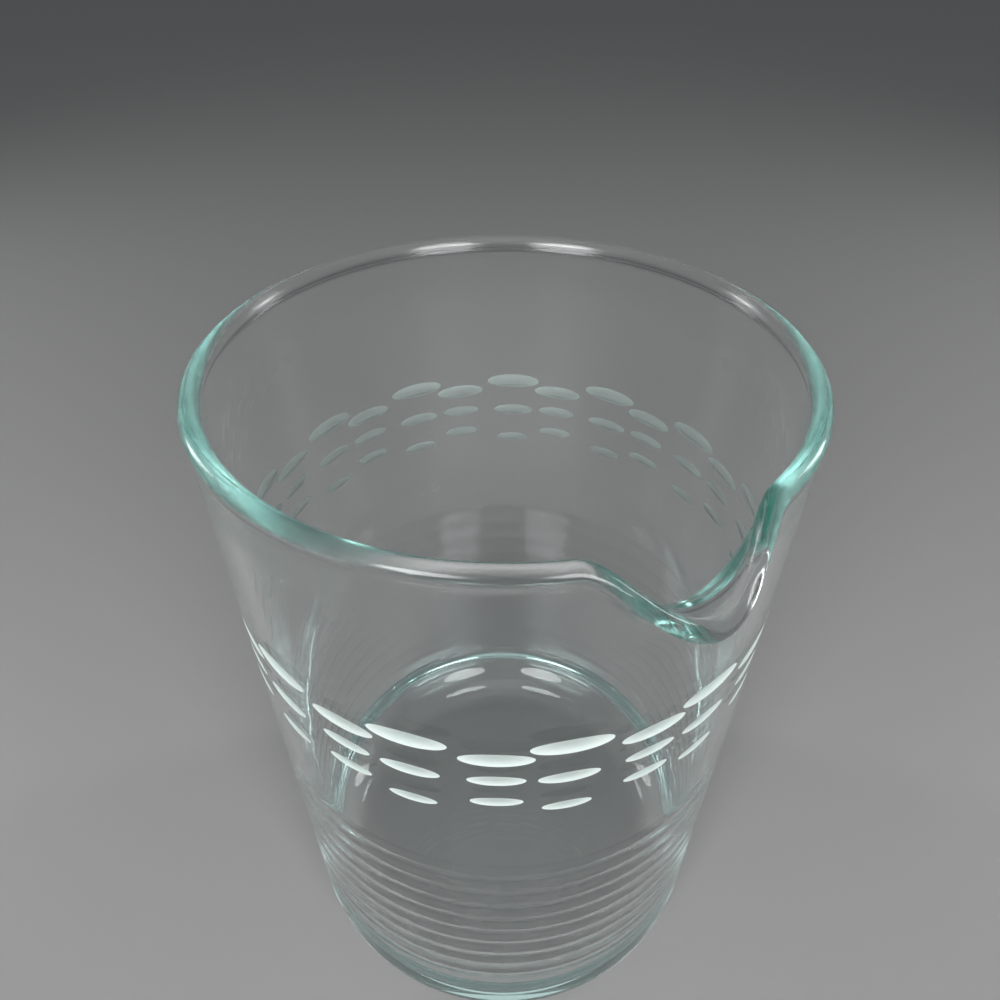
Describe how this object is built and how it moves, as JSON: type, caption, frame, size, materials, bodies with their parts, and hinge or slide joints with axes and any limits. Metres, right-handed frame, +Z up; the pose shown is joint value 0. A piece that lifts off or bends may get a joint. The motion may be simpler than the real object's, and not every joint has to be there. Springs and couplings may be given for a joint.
{
  "type": "cocktail pitcher",
  "caption": "Straight round cocktail pitcher of clear glass with a thick base, a pulled pour lip, a band of wheel-cut olives under the rim and shallow rings round the lower wall.",
  "frame": {"origin": "middle of the flat underside, on the axis of the round body", "axes": "+Z up along the body's axis, +X towards the pour lip"},
  "size_m": [0.1119, 0.1056, 0.16],
  "materials": {
    "clear_glass": "clear polished soda-lime glass with a faint aqua tint, matt grey in the wheel cuts"
  },
  "bodies": {
    "root": {"thick_base": "clear_glass", "ringed_wall": "clear_glass", "cut_band": "clear_glass", "rim_band": "clear_glass", "pour_lip": "clear_glass"}
  },
  "joints": []
}
